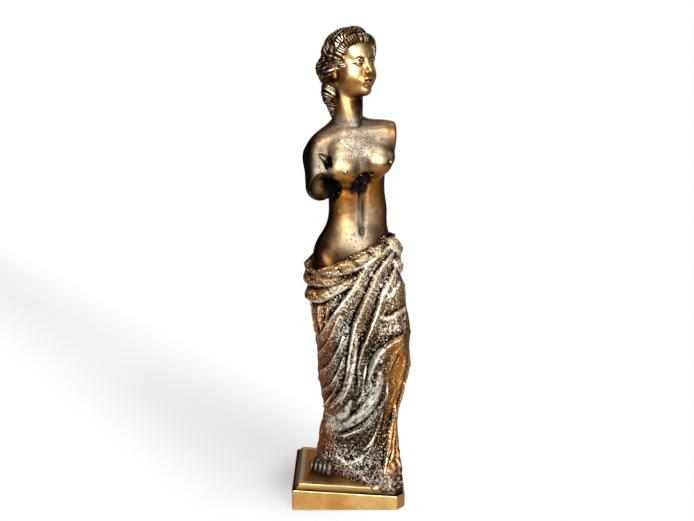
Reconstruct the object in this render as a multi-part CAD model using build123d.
"""Bronze statuette of a standing draped figure on a low plinth, as its separate castings and fixings.

Frame: millimetres, +Z up, the plinth's long front face towards -Y, the figure's bare foot towards -X.
The origin is the centre of the face that it rests on.
"""

import os
from math import cos, pi, radians, sin

from build123d import *

# Driving dimensions
TOTAL_HEIGHT = 300.0
WALL = 2.6  # wall of every hollow casting
FIT_GAP = 0.15  # clearance of the socket joints
HOLE_GAP = 0.05  # clearance round pins, plugs and the tie rod

PLINTH_WIDTH = 72.0
PLINTH_DEPTH = 64.0
PLINTH_CLIP = 5.5  # the one clipped corner, front right
PLINTH_EDGE_HEIGHT = 11.7  # vertical side, halfway along the front
PLINTH_SLOPE = 3.7  # degrees that the top falls towards +X
STEP_RISE = 3.4  # bevelled upper step
STEP_LEDGE = 1.2  # flat ledge below the bevel
STEP_BEVEL = 38.0  # bevel's lean from the vertical, degrees
CORNER_RADIUS = 2.0
LEAST_CORNER_RADIUS = 0.6  # of the insets drawn inside the plinth
CORNER_TIGHTENING = 0.2  # what an inset's corner radius loses for each millimetre of inset
STEP_ROOF = WALL + 1.0  # metal between the plinth's hollow and its top

FELT_THICKNESS = 1.6
FELT_PROUD = 0.4  # the felt stands this far below the rim
FELT_INSET = 2.2

ROD_RADIUS = 2.5
ROD_PLACE = (4.0, 2.0)
ROD_BOTTOM = 1.9
ROD_GRIP = 3.0  # rod beyond the torso's floor
ROD_TAIL = 0.5  # rod below the nut
ROD_HOLE_HEIGHT = 30.0  # hole through the torso's floor and the metal round it
NUT_FLATS, NUT_HEIGHT, NUT_CHAMFER = 8.0, 3.0, 0.45
ROD_CHAMFER = 0.4
SPRING_WASHER_RADIUS, SPRING_WASHER_THICKNESS = 4.2, 0.9
SPRING_WASHER_SPLIT, SPRING_WASHER_SLANT = 0.8, 35.0  # width and lean of its split
WASHER_RADIUS, WASHER_THICKNESS = 5.5, 1.0
BOSS_RADIUS = 7.0
BOSS_CLEARANCE = 5.0  # height kept free for the boss below the torso's spigot

WAIST_FLOOR = 150.0  # underside of the floor that closes the torso casting
WAIST_FLOOR_THICKNESS = 5.0
WAIST_LAP = 12.0  # how far the torso's spigot reaches down inside the drapery
SPIGOT_STEP = 2.0  # the spigot is smaller than the torso above it by this much all round
NECK_JOINT = 243.0
NECK_LAP = 6.0
NECK_CENTRE = (-1.2, 4.0)
NECK_SPIGOT_RADIUS = 6.4

PIN_RADIUS = 1.0
WAIST_PIN_HEIGHT = 144.0
WAIST_PIN_TURNS = (100.0, 220.0, 340.0)
WAIST_PIN_INNER = 5.0  # where each waist pin starts, inside the torso's lowest section
WAIST_PIN_OUTER = (4.0, 2.4)  # where it ends, outside that section, across and along
NECK_PIN_HEIGHT = 240.0
NECK_PIN_INNER, NECK_PIN_OUTER = 1.8, 2.4  # the same for the neck pins, about the spigot's radius
DOWEL_RADIUS = 1.5
DOWEL_LENGTH = 8.0
DOWEL_HOLE_LENGTH = 8.4
DOWEL_PLACES = [(-12.0, 9.0), (22.0, -9.0)]
LUG_RADIUS, LUG_TOP, LUG_FLOOR = 4.5, 22.0, 1.5
RIB_RADIUS, RIB_DROP = 2.5, 4.0  # rib that ties each lug to the drapery's wall, below the lug's top
RIB_REACH = (2.2, 1.9)  # how far out the rib ends, as multiples of the dowel's place
PLUG_RADIUS = 1.1
TORSO_PLUGS = [(-5.6, 189.0), (0.5, 176.0), (14.0, 189.0)]  # x and z of each, on the front
DRAPERY_PLUGS = [(-6.0, 118.0), (14.0, 92.0), (2.0, 60.0)]  # x and z of each, on the back

# Cross-sections: height, centre x, centre y, half-width, half-depth, turn about Z in degrees
DRAPERY_SECTIONS = [
    (4.0, 6.5, -2.5, 31.0, 20.0, -34.0),
    (14.0, 6.5, -2.5, 30.5, 19.8, -33.0),
    (34.0, 6.8, -1.5, 28.0, 19.5, -25.0),
    (56.0, 7.2, -0.5, 26.0, 19.0, -14.0),
    (80.0, 8.0, -1.5, 29.0, 20.5, -10.0),
    (108.0, 8.0, -2.5, 31.0, 21.5, -6.0),
    (132.0, 5.6, -0.5, 32.0, 21.5, 0.0),
    (148.0, 3.0, 1.0, 30.5, 21.0, 4.0),
    (160.0, 3.4, 1.5, 27.5, 20.0, 6.0),
]
TORSO_SECTIONS = [
    (WAIST_FLOOR, 3.0, 1.5, 24.0, 16.5, 8.0),
    (160.0, 2.6, 1.5, 24.5, 16.5, 9.0),
    (172.0, 3.2, 1.6, 22.0, 15.0, 11.0),
    (186.0, 5.2, 2.0, 18.0, 13.0, 16.0),
    (200.0, 5.4, 2.2, 20.0, 13.8, 22.0),
    (214.0, 4.6, 2.4, 21.5, 14.0, 24.0),
    (228.0, 2.6, 3.4, 20.0, 11.5, 22.0),
    (238.0, -0.2, 4.0, 13.5, 9.2, 18.0),
    (NECK_JOINT, *NECK_CENTRE, 9.8, 8.8, 12.0),
]
# Forms added to the drapery: centre, radii and turns of each ball
CLOTH_OVER_FOOT = ((27.5, -18.5, 16.5), (9.0, 11.0, 10.5), (0, 0, -30))
BENT_KNEE = ((28.0, -9.0, 112.0), (11.0, 13.0, 24.0), (8, 0, 0))
HIP_GATHER = ((27.0, -4.0, 152.0), (9.5, 13.0, 19.0), (0, -8, 0))
HIP_ROLL_CENTRE, HIP_ROLL_RADII = (3.8, 0.5, 152.5), (27.5, 19.0)
HIP_ROLL_TILT, HIP_ROLL_SECTION = 15.0, (8.0, 4.8)
FOOT_CENTRE, FOOT_RADII, FOOT_TURN = (-16.0, 0.5, 17.5), (7.0, 13.0, 6.5), 22.0
TOE_COUNT, TOE_PITCH = 5, 2.9
LITTLE_TOE_CENTRE, TOE_RADII, TOE_TURN = (-26.0, -7.4, 18.4), (1.7, 3.6, 2.0), -12.0
TOE_ADVANCE = 0.55  # how far each toe stands in front of the last, per millimetre across

BREAST_RADII = (9.6, 7.6, 9.8)
BREAST_PLACES = [(-3.2, -7.6, 213.5), (17.6, -1.8, 218.5)]
BREAST_TURN = 24.0
RIGHT_SHOULDER, RIGHT_ARM_END = (-18.6, 1.0, 228.0), (-18.9, -3.5, 196.0)
LEFT_SHOULDER_END, LEFT_ARM_CUT = (21.0, 6.5, 235.0), (29.0, 6.8, 233.0)
NECK_ROOT = (1.0, 4.0, 234.0)
SHOULDER_RADIUS, LEFT_CUT_RADIUS = 8.0, 6.6
UPPER_ARM_RADIUS, ARM_END_RADIUS = 9.0, 7.2

HEAD_TURN = 42.0  # degrees that the face looks round towards +X
SKULL_RADII = (16.6, 18.4, 18.0)
SKULL_CENTRE = (-0.2, 3.2, TOTAL_HEIGHT - SKULL_RADII[2])
JAW_CENTRE, JAW_RADII = (2.2, -1.4, 270.0), (11.6, 13.0, 13.0)
BUN_CENTRE, BUN_RADII = (-9.6, 13.0, 270.0), (9.6, 8.8, 11.0)
NAPE_LOCK_TOP, NAPE_LOCK_END = (-10.4, 8.0, 262.0), (-9.0, 7.5, 245.0)
NAPE_LOCK_RADIUS, NAPE_LOCK_TIP_RADIUS = 4.0, 1.6
NECK_RADIUS, NECK_TOP_RADIUS, NECK_HEIGHT = 9.4, 8.6, 20.0

FAR = 200.0  # for cutting and filling shapes
ON_FLOOR = (Align.CENTER, Align.CENTER, Align.MIN)  # a shape stands on its origin


def stacked_loft(sections, shrink=0.0):
    """A smooth loft through elliptical sections, each drawn in by the same amount."""
    faces = [
        Location((x, y, z), (0, 0, turn)) * Ellipse(wide - shrink, deep - shrink)
        for z, x, y, wide, deep, turn in sections
    ]
    return loft(faces)


def ellipsoid(centre, radii, turns=(0, 0, 0)):
    """A ball stretched to three radii, then turned and placed."""
    return Location(centre, turns) * scale(Sphere(1.0), by=radii)


def round_bar(start, end, radius, end_radius=None):
    """A round bar between two points, with an optional taper."""
    direction = Vector(*end) - Vector(*start)
    if end_radius is None:
        bar = Cylinder(radius, direction.length, align=ON_FLOOR)
    else:
        bar = Cone(radius, end_radius, direction.length, align=ON_FLOOR)
    return Plane(origin=start, z_dir=direction) * bar


def upright(radius, place, bottom, height):
    """An upright cylinder on a place (x, y), from a bottom height."""
    return Location((*place, bottom)) * Cylinder(radius, height, align=ON_FLOOR)


def slab(bottom, height):
    """Everything between two heights."""
    return Location((0, 0, bottom)) * Box(FAR, FAR, height, align=ON_FLOOR)


def plinth_outline(inset=0.0):
    """The plinth's plan: a rectangle with one clipped corner, drawn in by the inset."""
    half_w, half_d = PLINTH_WIDTH / 2 - inset, PLINTH_DEPTH / 2 - inset
    clip = PLINTH_CLIP - inset * (2 - 2**0.5)  # keeps the clipped side at the same inset
    corners = [
        (-half_w, -half_d),
        (half_w - clip, -half_d),
        (half_w, -half_d + clip),
        (half_w, half_d),
        (-half_w, half_d),
    ]
    face = make_face(Polyline(*corners, close=True))
    return fillet(face.vertices(), max(CORNER_RADIUS - inset * CORNER_TIGHTENING, LEAST_CORNER_RADIUS))


def sloping_plane(lift):
    """The plane of the plinth's falling top, this far along its normal above the sides' top edge."""
    lean = radians(PLINTH_SLOPE)
    normal = Vector(sin(lean), 0, cos(lean))
    return Plane(origin=Vector(0, 0, PLINTH_EDGE_HEIGHT) + normal * lift, z_dir=normal)


def half_space_below(lift):
    """A block that fills everything below the sloping plane."""
    return sloping_plane(lift) * Box(FAR, FAR, FAR, align=(Align.CENTER, Align.CENTER, Align.MAX))


def above_plinth(shape):
    """What of a shape stands on the plinth's top."""
    return shape - half_space_below(STEP_RISE)


def dowel_hole(place):
    """The hole of one dowel, across the joint between plinth and drapery."""
    return Location((*place, dowel_centre(place[0]))) * Cylinder(DOWEL_RADIUS + HOLE_GAP, DOWEL_HOLE_LENGTH)


def dowel_centre(x):
    """Height of a dowel's middle: the plinth's top surface at that place."""
    lean = radians(PLINTH_SLOPE)
    return PLINTH_EDGE_HEIGHT + STEP_RISE / cos(lean) - x * sin(lean) / cos(lean)


def stack_heights():
    """Bottoms of the nut, the spring washer, the plain washer and the boss above them."""
    nut = ROD_BOTTOM + ROD_TAIL
    spring = nut + NUT_HEIGHT
    washer = spring + SPRING_WASHER_THICKNESS
    return nut, spring, washer, washer + WASHER_THICKNESS


def make_plinth():
    """Hollow base casting: vertical sides, a narrow ledge, a bevelled step and a central boss."""
    side = Location((0, 0, FELT_PROUD)) * extrude(plinth_outline(), FAR)
    step = extrude(sloping_plane(0) * plinth_outline(STEP_LEDGE), STEP_RISE, taper=STEP_BEVEL)
    body = (side & half_space_below(0)) + step
    body -= extrude(plinth_outline(WALL + FELT_INSET), FAR) & half_space_below(STEP_RISE - STEP_ROOF)
    body -= extrude(plinth_outline(FELT_INSET - HOLE_GAP), FELT_THICKNESS)
    under_top = half_space_below(STEP_RISE - WALL / 2)
    body += upright(BOSS_RADIUS, ROD_PLACE, stack_heights()[3], FAR) & under_top
    body -= upright(ROD_RADIUS + HOLE_GAP, ROD_PLACE, 0, FAR)
    for place in DOWEL_PLACES:
        lug = upright(LUG_RADIUS, place, dowel_centre(place[0]) - DOWEL_LENGTH / 2 - LUG_FLOOR, FAR)
        body += lug & under_top
        body -= dowel_hole(place)
    return body


def make_felt():
    """Felt pad glued inside the rim, and just proud of it."""
    return extrude(plinth_outline(FELT_INSET), FELT_THICKNESS)


def waist_band():
    """The rolled edge of cloth round the hips, as a tilted ring."""
    tilt = radians(HIP_ROLL_TILT)
    outward, upward = (cos(tilt), 0, sin(tilt)), (-sin(tilt), 0, cos(tilt))
    ring_plane = Plane(origin=HIP_ROLL_CENTRE, x_dir=outward, z_dir=upward)
    path = Wire(Edge.make_ellipse(*HIP_ROLL_RADII, plane=ring_plane))
    section = Plane(origin=path @ 0, z_dir=path % 0) * Ellipse(*HIP_ROLL_SECTION)
    return sweep(section, path)


def right_foot():
    """The bare foot that comes out from under the hem, with five toes."""
    foot = ellipsoid(FOOT_CENTRE, FOOT_RADII, (0, 0, FOOT_TURN))
    x, y, z = LITTLE_TOE_CENTRE
    for number in range(TOE_COUNT):
        across = TOE_PITCH * number
        foot += ellipsoid((x + across, y - TOE_ADVANCE * across, z), TOE_RADII, (0, 0, TOE_TURN))
    return foot


def torso_spigot(grow=0.0):
    """The torso's outer form with its plug-shaped lower end, grown by a clearance for the socket."""
    z, x, y, wide, deep, turn = TORSO_SECTIONS[0]
    narrow = SPIGOT_STEP - grow
    bottom = Location((x, y, z - WAIST_LAP - grow), (0, 0, turn)) * Ellipse(wide - narrow, deep - narrow)
    return extrude(bottom, WAIST_LAP + 2 * grow) + stacked_loft(TORSO_SECTIONS, -grow)


def waist_pin(turn, radius):
    """A pin that runs in through the drapery's collar to the spigot's wall."""
    _, x, y, wide, deep, _ = TORSO_SECTIONS[0]
    across, along = cos(radians(turn)), sin(radians(turn))
    past_side, past_front = WAIST_PIN_OUTER
    inner = (x + (wide - WAIST_PIN_INNER) * across, y + (deep - WAIST_PIN_INNER) * along, WAIST_PIN_HEIGHT)
    outer = (x + (wide + past_side) * across, y + (deep + past_front) * along, WAIST_PIN_HEIGHT)
    return round_bar(inner, outer, radius)


def make_waist_pins():
    """Three pins through the joint between drapery and torso."""
    return Compound([waist_pin(turn, PIN_RADIUS) for turn in WAIST_PIN_TURNS])


def neck_pin(side, radius):
    """A pin that runs in through the torso's neck ring to the head's spigot."""
    x, y = NECK_CENTRE
    inner = (x + side * (NECK_SPIGOT_RADIUS - NECK_PIN_INNER), y, NECK_PIN_HEIGHT)
    outer = (x + side * (NECK_SPIGOT_RADIUS + NECK_PIN_OUTER), y, NECK_PIN_HEIGHT)
    return round_bar(inner, outer, radius)


def make_neck_pins():
    """Two pins through the joint between torso and head."""
    return Compound([neck_pin(side, PIN_RADIUS) for side in (-1, 1)])


def plug_bar(place, front, radius):
    """A bar along Y at (x, z), from inside the hollow through the front wall or the back wall."""
    x, z = place
    return round_bar((x, ROD_PLACE[1], z), (x, -FAR if front else FAR, z), radius)


def make_drapery():
    """Hollow lower casting: the draped legs, the cloth roll and the bare foot."""
    outer = stacked_loft(DRAPERY_SECTIONS)
    outer += waist_band()
    outer += right_foot()
    for centre, radii, turns in (CLOTH_OVER_FOOT, BENT_KNEE, HIP_GATHER):
        outer += ellipsoid(centre, radii, turns)
    collar_bottom = WAIST_FLOOR - WAIST_LAP - WALL
    hollow = stacked_loft(DRAPERY_SECTIONS, WALL) - slab(collar_bottom, FAR)
    body = above_plinth(outer - hollow)
    for place in DOWEL_PLACES:
        body += above_plinth(upright(LUG_RADIUS, place, 0, LUG_TOP) & hollow)
        rib_height = LUG_TOP - RIB_DROP
        rib_end = (place[0] * RIB_REACH[0], place[1] * RIB_REACH[1], rib_height)
        rib = round_bar((*place, rib_height), rib_end, RIB_RADIUS)
        body += above_plinth(rib & hollow)
        body -= dowel_hole(place)
    body -= torso_spigot(FIT_GAP)
    body -= upright(BOSS_RADIUS, ROD_PLACE, collar_bottom - BOSS_CLEARANCE, WAIST_LAP + 2 * BOSS_CLEARANCE)
    for turn in WAIST_PIN_TURNS:
        body -= waist_pin(turn, PIN_RADIUS + HOLE_GAP)
    for place in DRAPERY_PLUGS:
        body -= plug_bar(place, False, PLUG_RADIUS + HOLE_GAP)
    return body


def make_drapery_plugs():
    """Round plugs that close the drapery's core holes, dressed flush with the cloth."""
    wall = stacked_loft(DRAPERY_SECTIONS) - stacked_loft(DRAPERY_SECTIONS, WALL)
    return Compound([plug_bar(place, False, PLUG_RADIUS) & wall for place in DRAPERY_PLUGS])


def make_torso():
    """Hollow middle casting: spigot, waist, chest, shoulders and the two arm stumps."""
    outer = torso_spigot()
    outer += round_bar(NECK_ROOT, RIGHT_SHOULDER, SHOULDER_RADIUS, UPPER_ARM_RADIUS)
    outer += Location(RIGHT_SHOULDER) * Sphere(UPPER_ARM_RADIUS)
    outer += round_bar(RIGHT_SHOULDER, RIGHT_ARM_END, UPPER_ARM_RADIUS, ARM_END_RADIUS)
    outer += round_bar(NECK_ROOT, LEFT_SHOULDER_END, SHOULDER_RADIUS)
    outer += round_bar(LEFT_SHOULDER_END, LEFT_ARM_CUT, SHOULDER_RADIUS, LEFT_CUT_RADIUS)
    outer += Location(LEFT_SHOULDER_END) * Sphere(SHOULDER_RADIUS)
    for place in BREAST_PLACES:
        outer += ellipsoid(place, BREAST_RADII, (0, 0, BREAST_TURN))
    floor_top = WAIST_FLOOR + WAIST_FLOOR_THICKNESS
    hollow = stacked_loft(TORSO_SECTIONS[1:], WALL) - slab(0, floor_top)
    z, x, y, wide, deep, turn = TORSO_SECTIONS[0]
    mouth = Location((x, y, z - WAIST_LAP - 1), (0, 0, turn))
    narrow = SPIGOT_STEP + WALL
    spigot_hollow = extrude(mouth * Ellipse(wide - narrow, deep - narrow), WAIST_LAP + 1)
    body = outer - hollow - spigot_hollow
    body -= upright(NECK_SPIGOT_RADIUS + FIT_GAP, NECK_CENTRE, NECK_JOINT - NECK_LAP - FIT_GAP, FAR)
    body -= slab(NECK_JOINT, FAR)
    body -= upright(ROD_RADIUS + HOLE_GAP, ROD_PLACE, WAIST_FLOOR - 1, ROD_HOLE_HEIGHT)
    for turn in WAIST_PIN_TURNS:
        body -= waist_pin(turn, PIN_RADIUS + HOLE_GAP)
    for side in (-1, 1):
        body -= neck_pin(side, PIN_RADIUS + HOLE_GAP)
    for place in TORSO_PLUGS:
        body -= plug_bar(place, True, PLUG_RADIUS + HOLE_GAP)
    return body


def make_torso_plugs():
    """Round plugs that close the torso's core holes, dressed flush with the skin."""
    wall = stacked_loft(TORSO_SECTIONS) - stacked_loft(TORSO_SECTIONS[1:], WALL)
    return Compound([plug_bar(place, True, PLUG_RADIUS) & wall for place in TORSO_PLUGS])


def make_head():
    """Hollow upper casting: head, gathered hair and neck, with a round spigot below."""
    turn = (0, 0, HEAD_TURN)
    outer = ellipsoid(SKULL_CENTRE, SKULL_RADII, turn)
    outer += ellipsoid(JAW_CENTRE, JAW_RADII, turn)
    outer += ellipsoid(BUN_CENTRE, BUN_RADII, turn)  # gathered hair
    outer += round_bar(NAPE_LOCK_TOP, NAPE_LOCK_END, NAPE_LOCK_RADIUS, NAPE_LOCK_TIP_RADIUS)  # loose lock
    neck_foot, neck_top = (*NECK_CENTRE, NECK_JOINT), (*NECK_CENTRE, NECK_JOINT + NECK_HEIGHT)
    outer += round_bar(neck_foot, neck_top, NECK_RADIUS, NECK_TOP_RADIUS)
    outer += upright(NECK_SPIGOT_RADIUS, NECK_CENTRE, NECK_JOINT - NECK_LAP, NECK_LAP + 2)
    skull_hollow = tuple(radius - WALL for radius in SKULL_RADII)
    body = outer - ellipsoid(SKULL_CENTRE, skull_hollow, turn)
    bore_bottom = NECK_JOINT - NECK_LAP - 1
    body -= upright(NECK_SPIGOT_RADIUS - WALL, NECK_CENTRE, bore_bottom, NECK_LAP + NECK_HEIGHT + WALL)
    for side in (-1, 1):
        body -= neck_pin(side, PIN_RADIUS + HOLE_GAP)
    return body


def make_tie_rod():
    """Threaded rod that pulls the plinth, drapery and torso together, drawn at its outer diameter."""
    top = WAIST_FLOOR + WAIST_FLOOR_THICKNESS + ROD_GRIP
    rod = upright(ROD_RADIUS, ROD_PLACE, ROD_BOTTOM, top - ROD_BOTTOM)
    return chamfer(rod.edges().filter_by(GeomType.CIRCLE), ROD_CHAMFER)


def make_ring(radius, bottom, thickness):
    """A flat ring round the rod."""
    return upright(radius, ROD_PLACE, bottom, thickness) - upright(ROD_RADIUS + HOLE_GAP, ROD_PLACE, 0, FAR)


def make_spring_washer():
    """Split ring under the nut that keeps it from working loose."""
    ring = make_ring(SPRING_WASHER_RADIUS, stack_heights()[1], SPRING_WASHER_THICKNESS)
    x, y = ROD_PLACE
    middle = (x + SPRING_WASHER_RADIUS, y, stack_heights()[1])
    wide = 1.5 * SPRING_WASHER_RADIUS  # reaches from outside the ring into its hole
    split = Location(middle, (SPRING_WASHER_SLANT, 0, 0)) * Box(wide, SPRING_WASHER_SPLIT, wide)
    return ring - split


def make_nut():
    """Hexagon nut on the rod's lower end, with its corners turned off."""
    hexagon = extrude(RegularPolygon(NUT_FLATS / 2, 6, major_radius=False), NUT_HEIGHT)
    corner_radius = NUT_FLATS / 2 / cos(pi / 6)
    turned = chamfer(Cylinder(corner_radius, NUT_HEIGHT).edges().filter_by(GeomType.CIRCLE), NUT_CHAMFER)
    nut = hexagon & (Location((0, 0, NUT_HEIGHT / 2)) * turned)
    nut = Location((*ROD_PLACE, stack_heights()[0])) * nut
    return nut - upright(ROD_RADIUS + HOLE_GAP, ROD_PLACE, 0, FAR)


def make_dowels():
    """Two dowels that keep the figure square on the plinth."""
    dowel = Cylinder(DOWEL_RADIUS, DOWEL_LENGTH)
    return Compound([Location((*place, dowel_centre(place[0]))) * dowel for place in DOWEL_PLACES])


NODES = {
    "plinth": make_plinth,
    "felt_pad": make_felt,
    "drapery_casting": make_drapery,
    "torso_casting": make_torso,
    "head_casting": make_head,
    "tie_rod": make_tie_rod,
    "tie_rod_washer": lambda: make_ring(WASHER_RADIUS, stack_heights()[2], WASHER_THICKNESS),
    "tie_rod_spring_washer": make_spring_washer,
    "tie_rod_nut": make_nut,
    "plinth_dowels": make_dowels,
    "waist_joint_pins": make_waist_pins,
    "neck_joint_pins": make_neck_pins,
    "torso_core_plugs": make_torso_plugs,
    "drapery_core_plugs": make_drapery_plugs,
}

os.makedirs("parts", exist_ok=True)
for node, make in NODES.items():
    export_step(make(), f"parts/{node}.step")
